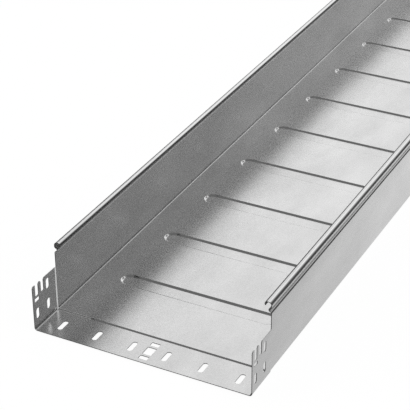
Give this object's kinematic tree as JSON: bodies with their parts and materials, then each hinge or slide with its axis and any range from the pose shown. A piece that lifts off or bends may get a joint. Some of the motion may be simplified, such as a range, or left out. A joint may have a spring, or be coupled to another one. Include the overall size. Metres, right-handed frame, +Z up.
{
  "type": "solid cable tray",
  "caption": "Straight ribbed sheet steel cable tray with curled side edges and a widened, slotted socket end that takes the next tray.",
  "frame": {"origin": "middle of the tray's length and width, at the level of the ribs' undersides", "axes": "+Y along the tray from the socket end to the plain end, +Z up out of the open side, +X across"},
  "size_m": [0.304, 3, 0.102],
  "materials": {
    "galvanised_steel": "hot-dip galvanised sheet, satin"
  },
  "bodies": {
    "root": {"cable_tray": "galvanised_steel"}
  },
  "joints": []
}
